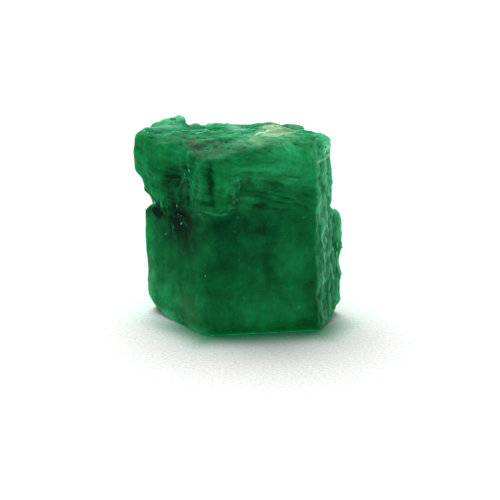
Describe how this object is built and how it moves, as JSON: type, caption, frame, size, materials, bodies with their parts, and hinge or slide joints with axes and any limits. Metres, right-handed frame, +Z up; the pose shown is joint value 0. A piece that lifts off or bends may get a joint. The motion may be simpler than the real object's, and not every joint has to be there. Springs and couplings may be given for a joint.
{
  "type": "raw emerald crystal",
  "caption": "Rough green beryl crystal: a broken, stubby hexagonal prism that stands on its flat fractured end.",
  "frame": {"origin": "on the resting foot, under the middle of the crystal's box", "axes": "+Z up along the crystal's prism axis, +Y away from the widest prism face, +X towards the ribbed end"},
  "size_m": [0.0104, 0.0074, 0.0097],
  "materials": {
    "emerald": "translucent green beryl, glassy to frosted, with dark and cream inclusions"
  },
  "bodies": {
    "root": {"emerald_crystal": "emerald"}
  },
  "joints": []
}
